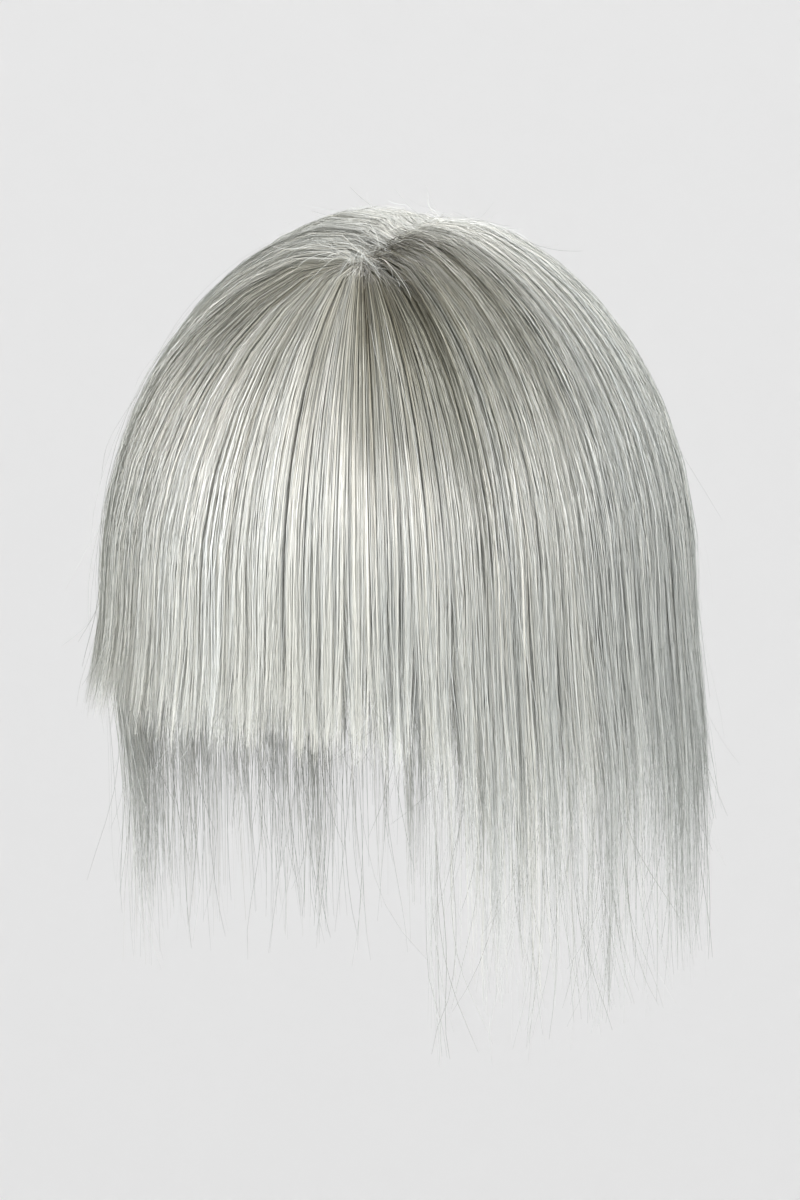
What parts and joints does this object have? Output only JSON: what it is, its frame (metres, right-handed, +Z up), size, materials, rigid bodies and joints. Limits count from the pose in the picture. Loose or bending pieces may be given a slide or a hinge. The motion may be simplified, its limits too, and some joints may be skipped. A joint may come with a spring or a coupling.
{
  "type": "hair topper",
  "caption": "Crown hairpiece of straight silver-grey hair with a full fringe and long sides on a domed net base, held on by snap combs.",
  "frame": {"origin": "highest point inside the net base, where it rests on the crown of the wearer", "axes": "+Z up, the fringe faces -Y, +X is the wearer's left"},
  "size_m": [0.1843, 0.222, 0.255],
  "materials": {
    "hair": "straight silver-grey hair, soft sheen",
    "net": "fine woven net, matte",
    "clip_steel": "dull nickel"
  },
  "bodies": {
    "root": {"base_cap": "net", "hair_fringe": "hair", "hair_left": "hair", "hair_right": "hair", "hair_back": "hair", "clip_front": "clip_steel", "clip_left": "clip_steel", "clip_right": "clip_steel", "clip_back": "clip_steel"}
  },
  "joints": []
}
